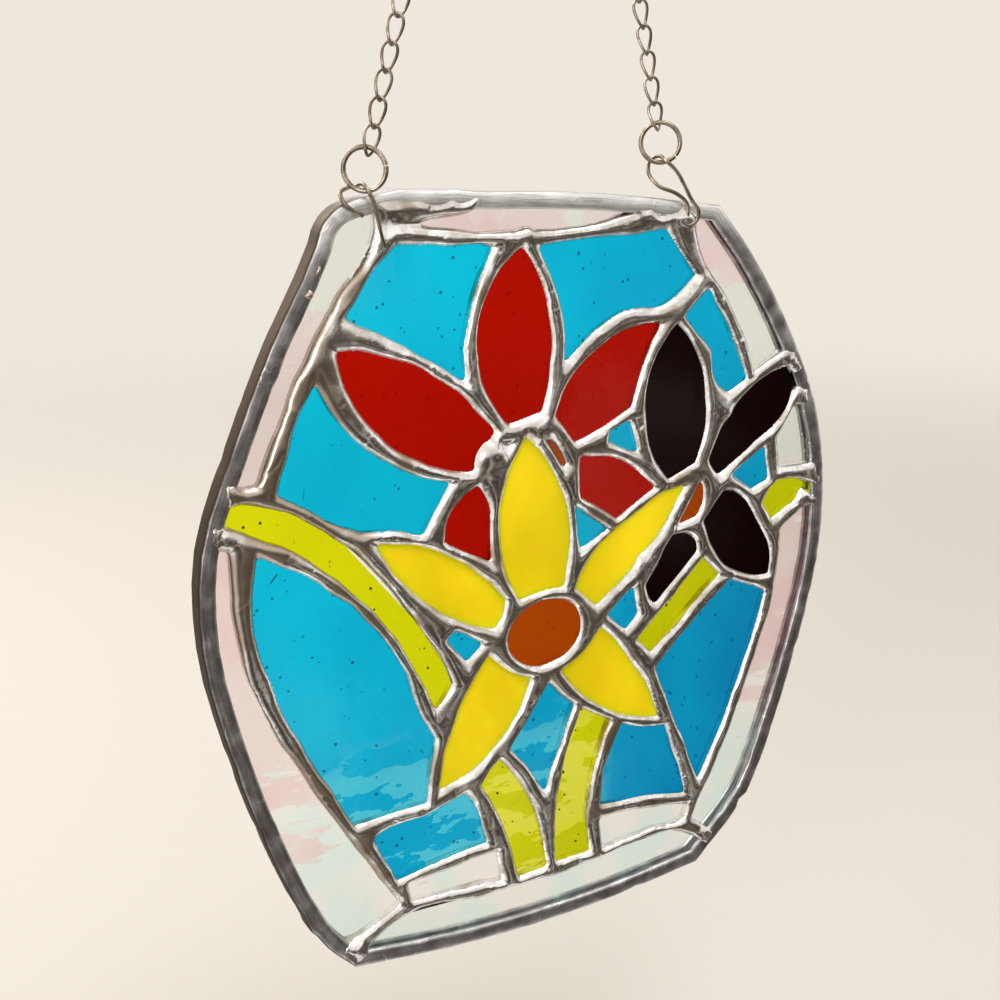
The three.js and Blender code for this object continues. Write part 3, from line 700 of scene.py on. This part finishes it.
# ---------------------------------------------------------------- came
# The rim is a channel of soft lead bent round the panel and mitred at its corners. Its two flanges
# lie over the edge of the border glass. It is grey, brown on the outside, dented and scratched.
# Each row is how far in from the outside, how far forward of the middle, and how worn bright it is.
came_half_section = [(0, 0, 0), (0, 1.4, 0), (0, 2.5, 0), (0.12, 2.8, 0.05), (0.35, 3.0, 0.15),
                     (0.75, 3.14, 0.6), (1.4, 3.22, 1), (2.2, 3.24, 1), (3.0, 3.2, 1), (3.6, 3.08, 1),
                     (4.0, 2.86, 1), (4.2, 2.55, 1), (4.2, 2.1, 1), (4.05, 1.75, 1), (3.4, 1.62, 1),
                     (2.2, 1.7, 1), (1.0, 1.7, 1), (1.0, 0, 1)]
CHANNEL_HALF = 1.75
section = [(o, -y, w) for o, y, w in came_half_section]
section += [(o, y, w) for o, y, w in came_half_section[-2:0:-1]]
DENSE = 3


def rim_corners():
    """The rim's corners with their mitres, close together where it curves."""
    outline = smooth_outline(face_edge, 3)
    following = np.roll(outline, -1, 0)
    area = np.sum(outline[:, 0] * following[:, 1] - outline[:, 1] * following[:, 0])
    if area > 0:
        outline = outline[::-1]
    sides = np.roll(outline, -1, 0) - outline
    sides /= np.linalg.norm(sides, axis=1, keepdims=True)
    inward = np.stack([sides[:, 1], -sides[:, 0]], 1)
    mitre = inward + np.roll(inward, 1, 0)
    mitre /= (mitre * inward).sum(1, keepdims=True)
    return outline - mitre * FACE_INSET, mitre


corners, mitre = rim_corners()
loops = []
for inset, _, _ in section:
    loop = corners + mitre * inset * MM
    fine = np.concatenate([loop + (np.roll(loop, -1, 0) - loop) * k / DENSE for k in range(DENSE)], 1)
    loops.append(fine.reshape(-1, 2))
loops = np.array(loops)
around = loops.shape[1]
came_points = np.zeros((len(section), around, 3))
came_points[..., 0] = loops[..., 0]
came_points[..., 2] = loops[..., 1]
came_points[..., 1] = middle_y + np.array([y for _, y, _ in section])[:, None] * MM

# Knocks in the soft lead, in millimetres across and up from the middle of the foot, with their radius
# and their depth.
KNOCKS = [(-79, 49, 1.8, 0.7), (-69, 19, 2.0, -0.6), (68, 20, 1.5, 0.8), (-86, 68, 2.2, 0.35),
          (-66, 176, 1.8, 0.45), (-71, 163, 2.0, 0.4), (-83, 143, 1.6, 0.5), (87, 65, 2.0, 0.4),
          (20, 197, 2.2, 0.3), (-25, 200.5, 2.0, -0.4), (30, 1, 2.5, 0.3)]
knocked = np.zeros(loops.shape[:2])
for across, up, radius, depth in KNOCKS:
    away = np.hypot(loops[..., 0] - panel_foot.x - across * MM, loops[..., 1] - panel_foot.z - up * MM)
    knocked += depth * MM * np.exp(-(away / (radius * MM)) ** 2)
dents = 0.12 * roughness_field(grid_x.shape, 6 * MM, 61)
dents += 0.05 * roughness_field(grid_x.shape, 2 * MM, 62)
outer = np.array([(0.0 if abs(y) < CHANNEL_HALF and o > 0.5 else 1.0) for o, y, _ in section])[:, None]
dent = field_at(dents, came_points[..., 0], came_points[..., 2]) * MM * outer
towards_face = np.sign(came_points[..., 1] - middle_y)
came_points[..., 1] -= (np.abs(dent) + 0.5 * knocked * outer) * towards_face
inwards = np.repeat(mitre, DENSE, 0)
came_points[..., 0] += inwards[:, 0] * knocked * outer
came_points[..., 2] += inwards[:, 1] * knocked * outer
ring = np.arange(around)
came_faces = []
for k in range(len(section)):
    a, b = k * around, (k + 1) % len(section) * around
    quad = np.stack([a + ring, a + (ring + 1) % around, b + (ring + 1) % around, b + ring], 1)
    came_faces += [tuple(q) for q in quad.tolist()]
lead = Finish("lead_came", Metallic=1.0)
face_share = lead.node("ShaderNodeAttribute", {"attribute_name": "crown"}, out="Fac")
from_edge = lead.node("ShaderNodeAttribute", {"attribute_name": "across"}, out="Fac")
# The marks of the die run lengthways: they change across the section and hardly at all along it.
LENGTHWAYS = (0.03, 0.03, 0.03)
drawn = lead.node("ShaderNodeTexNoise", {"noise_dimensions": "4D"},
                  {"Vector": lead.place(LENGTHWAYS), "W": from_edge, "Scale": 1 / (0.3 * MM),
                   "Detail": 1}, "Fac")
mottle = lead.noise(5 * MM, 4)
tone = lead.ramp(mottle, (0.32, (0.33, 0.30, 0.31)), (0.5, (0.45, 0.43, 0.43)),
                 (0.68, (0.70, 0.68, 0.67)))
# Painted highlight: the top run of the rim is painted pale and made less metallic, for the light it
# catches.
painted_top_highlight = lead.along("Z", came_high.z - 16 * MM, came_high.z - 6 * MM)
tone = lead.mix(0.65 * painted_top_highlight, tone, (0.90, 0.89, 0.87))
lead.feed("Metallic", 1 - 0.2 * painted_top_highlight)
tone = lead.mix(0.35 * lead.span(drawn, 0.52, 0.62), tone, (0.17, 0.15, 0.145))
swirl = lead.noise(9 * MM, 3, (1, 1, 0.4), (0, 0.6, 0), 8.0)
scrape = 1 - lead.span((swirl - 0.5).math("ABSOLUTE"), 0.004, 0.012)
scrape = scrape * lead.span(lead.noise(6 * MM, 2, offset=5.0), 0.52, 0.6)
tone = lead.mix(0.8 * scrape, tone, (0.90, 0.88, 0.86))
left_side = 1 - lead.along("X", across_panel(36), across_panel(46))
outside = (1 - lead.span(face_share, 0.05, 0.3)) * (0.35 + 0.65 * left_side)
lead.feed("Base Color", lead.mix(outside, tone, (0.05, 0.033, 0.02)))
lead.feed("Roughness", 0.22 + 0.25 * mottle + 0.15 * outside - 0.15 * scrape)
lead.bump(lead.noise(1.4 * MM, 3) + 0.5 * drawn + 0.4 * scrape, 0.5, 0.12 * MM)
came = new_object("lead_rim", came_points.reshape(-1, 3).tolist(), came_faces, lead.material)
worn = came.data.attributes.new("crown", "FLOAT", "POINT")
worn.data.foreach_set("value", np.repeat([w for _, _, w in section], around).astype(np.float32))
corner_steps = np.hypot(*np.diff([(o, y) for o, y, _ in section], axis=0).T)
lane = came.data.attributes.new("across", "FLOAT", "POINT")
lane.data.foreach_set("value", np.repeat(np.cumsum([0, *corner_steps]) * MM, around).astype(np.float32))
shell = bmesh.new()
shell.from_mesh(came.data)
bmesh.ops.recalc_face_normals(shell, faces=shell.faces)
shell.to_mesh(came.data)
shell.free()
came.data.shade_smooth()
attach(came, "root")
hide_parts("came_frame")

# ---------------------------------------------------------------- wire loops, rings
# Dulled steel wire. Each loop is one bent length soldered to a top corner of the rim, and each jump
# ring is a round of thicker wire whose two cut ends nearly meet.
wire_finish = metal("steel_wire", bright=(0.40, 0.345, 0.27), dull=(0.22, 0.18, 0.135),
                    tarnish=(0.11, 0.08, 0.05), roughness=0.2, blotch=3 * MM, stain=0.6, grain=0.1)


class Assembly:
    """A Geometry Nodes tree that makes one kind of piece from named sizes."""

    def __init__(self, name, **inputs):
        self.tree = bpy.data.node_groups.new(name, "GeometryNodeTree")
        self.tree.interface.new_socket("Geometry", in_out="INPUT", socket_type="NodeSocketGeometry")
        self.tree.interface.new_socket("Geometry", in_out="OUTPUT", socket_type="NodeSocketGeometry")
        for label, kind in inputs.items():
            self.tree.interface.new_socket(label, in_out="INPUT", socket_type="NodeSocket" + kind)
        self.enter = self.tree.nodes.new("NodeGroupInput")
        self.leave = self.tree.nodes.new("NodeGroupOutput")

    def node(self, kind, settings=None, sockets=None, out=0):
        made = self.tree.nodes.new(kind)
        for name, value in (settings or {}).items():
            setattr(made, name, value)
        for name, value in (sockets or {}).items():
            if isinstance(value, bpy.types.NodeSocket):
                self.tree.links.new(value, made.inputs[name])
            else:
                made.inputs[name].default_value = value
        return made.outputs[out]

    def size(self, label):
        return self.enter.outputs[label]

    def math(self, operation, first, second=0.0):
        return self.node("ShaderNodeMath", {"operation": operation}, {0: first, 1: second})

    def finish_with(self, geometry, material):
        whole = self.node("GeometryNodeRealizeInstances", {}, {"Geometry": geometry})
        painted = self.node("GeometryNodeSetMaterial", {}, {"Geometry": whole, "Material": material})
        self.tree.links.new(painted, self.leave.inputs[0])


def make_piece(name, assembly, curve=None, **values):
    """The assembly's result as a plain mesh object, with the given sizes."""
    carrier = curve or bpy.data.objects.new(name + "_carrier", bpy.data.meshes.new(name))
    bpy.context.scene.collection.objects.link(carrier)
    modifier = carrier.modifiers.new("make", "NODES")
    modifier.node_group = assembly.tree
    labels = {s.name: s.identifier for s in assembly.tree.interface.items_tree if s.in_out == "INPUT"}
    for label, value in values.items():
        modifier[labels[label]] = value
    graph = bpy.context.evaluated_depsgraph_get()
    mesh = bpy.data.meshes.new_from_object(carrier.evaluated_get(graph))
    bpy.data.objects.remove(carrier)
    piece = bpy.data.objects.new(name, mesh)
    bpy.context.scene.collection.objects.link(piece)
    mesh.shade_smooth()
    return piece


bent_wire = Assembly("bent_wire", Diameter="Float", Sides="Int")
half = bent_wire.math("MULTIPLY", bent_wire.size("Diameter"), 0.5)
profile = bent_wire.node("GeometryNodeCurvePrimitiveCircle", {},
                         {"Resolution": bent_wire.size("Sides"), "Radius": half})
tube = bent_wire.node("GeometryNodeCurveToMesh", {},
                      {"Curve": bent_wire.enter.outputs[0], "Profile Curve": profile,
                       "Fill Caps": True})
bent_wire.finish_with(tube, wire_finish.material)


def wire_path(name, points):
    """A smooth curve through a list of points, in metres."""
    data = bpy.data.curves.new(name, "CURVE")
    data.dimensions = "3D"
    spline = data.splines.new("NURBS")
    spline.points.add(len(points) - 1)
    for knot, point in zip(spline.points, points):
        knot.co = (*point, 1)
    spline.use_endpoint_u = True
    spline.order_u = 3
    spline.resolution_u = 8
    return bpy.data.objects.new(name, data)


def through(points, steps=6):
    """Points on a smooth curve through the given ones."""
    knots = np.array(points, float)
    ends = np.concatenate([[2 * knots[0] - knots[1]], knots, [2 * knots[-1] - knots[-2]]])
    path = []
    for p0, p1, p2, p3 in zip(ends, ends[1:], ends[2:], ends[3:]):
        for t in np.arange(steps) / steps:
            path.append(0.5 * (2 * p1 + (p2 - p0) * t + (2 * p0 - 5 * p1 + 4 * p2 - p3) * t**2
                               + (3 * p1 - p0 - 3 * p2 + p3) * t**3))
    return path + [knots[-1]]


def box_middle(node):
    low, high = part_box(node)
    return (low + high) / 2


# Millimetres from the middle of the jump ring that hangs in the loop: across, back and up.
LOOP_ROUTES = {
    "left": [(4.0, -1.2, -17.5), (2.8, -1.9, -14.7), (1.9, -2.3, -10.9), (1.0, -2.4, -7.3),
             (-0.2, -1.8, -4.6), (-0.5, 0.3, -3.3), (-1.2, 2.8, -3.9), (-2.7, 3.5, -4.2),
             (-5.4, 1.6, -5.0), (-6.0, -0.6, -6.5), (-4.8, -1.5, -8.3), (-1.2, -0.9, -10.3)],
    "right": [(7.8, -1.8, -18.5), (7.4, -1.8, -15.1), (3.8, -1.8, -12.5), (-0.2, -0.4, -10.8),
              (-2.1, 1.4, -8.1), (-1.6, 2.7, -5.6), (-0.9, 2.6, -4.2), (-0.2, 0.1, -3.3),
              (0.4, -2.2, -4.4), (3.4, -2.7, -7.1), (6.0, -3.0, -11.1), (8.0, -3.1, -14.3),
              (10.6, -2.6, -17.1), (10.6, -1.8, -19.7), (8.0, -1.8, -20.9), (5.8, -1.8, -19.5)],
}
LOOP_WIRE, LOOP_SIDES = 1.0 * MM, 14
for side, route in LOOP_ROUTES.items():
    ring_middle = box_middle(f"jump_ring_{side}")
    points = [ring_middle + Vector(p) * MM for p in through(route)]
    curve = wire_path(f"loop_path_{side}", points)
    loop = make_piece(f"loop_wire_{side}", bent_wire, curve, Diameter=LOOP_WIRE, Sides=LOOP_SIDES)
    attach(loop, "root")
    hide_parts(f"wire_loop_{side}")


RING_STEPS = 72
ENDS_ASIDE = 0.25 * MM


def ring_points(middle, radius, turn, opening_at, gap):
    """Points round an upright ring turned about the vertical, open at one place, its ends apart."""
    points = []
    for step in range(RING_STEPS + 1):
        angle = opening_at + gap / 2 + (2 * pi - gap) * step / RING_STEPS
        aside = ENDS_ASIDE * (step / RING_STEPS - 0.5)
        across, up = radius * cos(angle), radius * sin(angle)
        points.append(middle + Vector((across * cos(turn) - aside * sin(turn),
                                       across * sin(turn) + aside * cos(turn), up)))
    return points


JUMP_RADIUS, JUMP_WIRE, JUMP_TURN = 4.9 * MM, 1.2 * MM, -0.6
JUMP_GAP, JUMP_SIDES = 0.05, 16
for side, opening_at in (("left", 0.15), ("right", -0.7)):
    points = ring_points(box_middle(f"jump_ring_{side}"), JUMP_RADIUS, JUMP_TURN, opening_at, JUMP_GAP)
    curve = wire_path(f"ring_path_{side}", points)
    jump_ring = make_piece(f"jump_ring_wire_{side}", bent_wire, curve, Diameter=JUMP_WIRE,
                           Sides=JUMP_SIDES)
    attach(jump_ring, "root")
    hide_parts(f"jump_ring_{side}")

# ---------------------------------------------------------------- hanging ring
# One larger ring of thicker steel wire, bent round until its two ends nearly meet. It gathers the last
# link of both chains and goes over the hook.
HANG_RADIUS, HANG_WIRE, HANG_TURN = 7.25 * MM, 1.5 * MM, 0.5
HANG_OPENING, HANG_GAP, HANG_SIDES = 2.4, 0.03, 18
hang_middle = box_middle("hanging_ring")
hang_points = ring_points(hang_middle, HANG_RADIUS, HANG_TURN, HANG_OPENING, HANG_GAP)
hang_ring = make_piece("hanging_ring_wire", bent_wire, wire_path("hang_path", hang_points),
                       Diameter=HANG_WIRE, Sides=HANG_SIDES)
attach(hang_ring, "root")
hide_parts("hanging_ring")

# ---------------------------------------------------------------- chains
# Two lengths of fine curb chain. Every link is an oval of round wire with a half twist, so that each
# end crosses the next link's, and they hang straight from the jump rings to the hanging ring.
LINK_HALF_WIDTH, LINK_TWIST, LINK_WIRE, LINK_PITCH = 1.85 * MM, -0.7 * MM, 0.75 * MM, 6.169 * MM
LINK_SLACK = 0.06 * MM
LINK_HALF_LENGTH = (LINK_PITCH + LINK_WIRE + LINK_SLACK) / 2
LINK_STEPS, LINK_SIDES = 28, 9
LINK_TURNS = 0.15
CHAIN_LINKS = {"left": 27, "right": 26}
# The chains leave the hanging ring at this angle on each side of its foot, and their lowest links
# pass through the jump rings with this gap between the two wires.
SEAT_ANGLE = 0.36
JOIN_GAP = 0.85 * MM
chain_tree = Assembly("curb_chain", Links="Int", Pitch="Float", HalfWidth="Float", HalfLength="Float",
                      Twist="Float", Wire="Float", Start="Vector", Direction="Vector")
loop_curve = chain_tree.node("GeometryNodeCurvePrimitiveCircle", {},
                             {"Resolution": LINK_STEPS, "Radius": 1.0})
turn_share = chain_tree.node("GeometryNodeSplineParameter", {}, {}, "Factor")
angle = chain_tree.math("MULTIPLY", turn_share, 2 * pi)
double = chain_tree.math("MULTIPLY", turn_share, 4 * pi)
link_x = chain_tree.math("MULTIPLY", chain_tree.math("COSINE", angle), chain_tree.size("HalfWidth"))
link_y = chain_tree.math("MULTIPLY", chain_tree.math("SINE", double), chain_tree.size("Twist"))
link_z = chain_tree.math("MULTIPLY", chain_tree.math("SINE", angle), chain_tree.size("HalfLength"))
link_shape = chain_tree.node("ShaderNodeCombineXYZ", {}, {0: link_x, 1: link_y, 2: link_z})
link_curve = chain_tree.node("GeometryNodeSetPosition", {},
                             {"Geometry": loop_curve, "Position": link_shape})
link_radius = chain_tree.math("MULTIPLY", chain_tree.size("Wire"), 0.5)
link_section = chain_tree.node("GeometryNodeCurvePrimitiveCircle", {},
                               {"Resolution": LINK_SIDES, "Radius": link_radius})
link = chain_tree.node("GeometryNodeCurveToMesh", {},
                       {"Curve": link_curve, "Profile Curve": link_section})
step = chain_tree.node("ShaderNodeVectorMath", {"operation": "SCALE"},
                       {"Vector": chain_tree.size("Direction"), "Scale": chain_tree.size("Pitch")})
places = chain_tree.node("GeometryNodeMeshLine", {"mode": "OFFSET"}, {
    "Count": chain_tree.size("Links"), "Start Location": chain_tree.size("Start"), "Offset": step})
lean = chain_tree.node("FunctionNodeAlignRotationToVector", {"axis": "Z", "pivot_axis": "AUTO"},
                       {"Vector": chain_tree.size("Direction")})
slack = chain_tree.node("FunctionNodeRandomValue", {"data_type": "FLOAT"},
                        {2: -LINK_TURNS, 3: LINK_TURNS, "Seed": 3}, 1)
turned = chain_tree.node("FunctionNodeAxisAngleToRotation", {}, {"Axis": (0, 0, 1), "Angle": slack})
leaning = chain_tree.node("FunctionNodeRotateRotation", {"rotation_space": "LOCAL"},
                          {"Rotation": lean, "Rotate By": turned})
hung = chain_tree.node("GeometryNodeInstanceOnPoints", {}, {
    "Points": places, "Instance": link, "Rotation": leaning})
chain_tree.finish_with(hung, wire_finish.material)
for side, sign in (("left", -1), ("right", 1)):
    ring_middle = box_middle(f"jump_ring_{side}")
    seat = Vector((sign * sin(SEAT_ANGLE), 0, -cos(SEAT_ANGLE))) * HANG_RADIUS
    seat.rotate(Matrix.Rotation(HANG_TURN, 3, "Z"))
    leaves_at = (hang_middle + seat - ring_middle).normalized() * JUMP_RADIUS
    leaves_at.rotate(Matrix.Rotation(JUMP_TURN, 3, "Z"))
    direction = (hang_middle + seat - ring_middle - leaves_at).normalized()
    first = LINK_HALF_LENGTH - JUMP_WIRE / 2 - JOIN_GAP - LINK_WIRE / 2
    start = ring_middle + leaves_at + direction * first
    chain = make_piece(f"chain_links_{side}", chain_tree, Links=CHAIN_LINKS[side], Pitch=LINK_PITCH,
                       HalfWidth=LINK_HALF_WIDTH, HalfLength=LINK_HALF_LENGTH, Twist=LINK_TWIST,
                       Wire=LINK_WIRE, Start=start, Direction=direction)
    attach(chain, "root")
    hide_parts(f"chain_{side}")
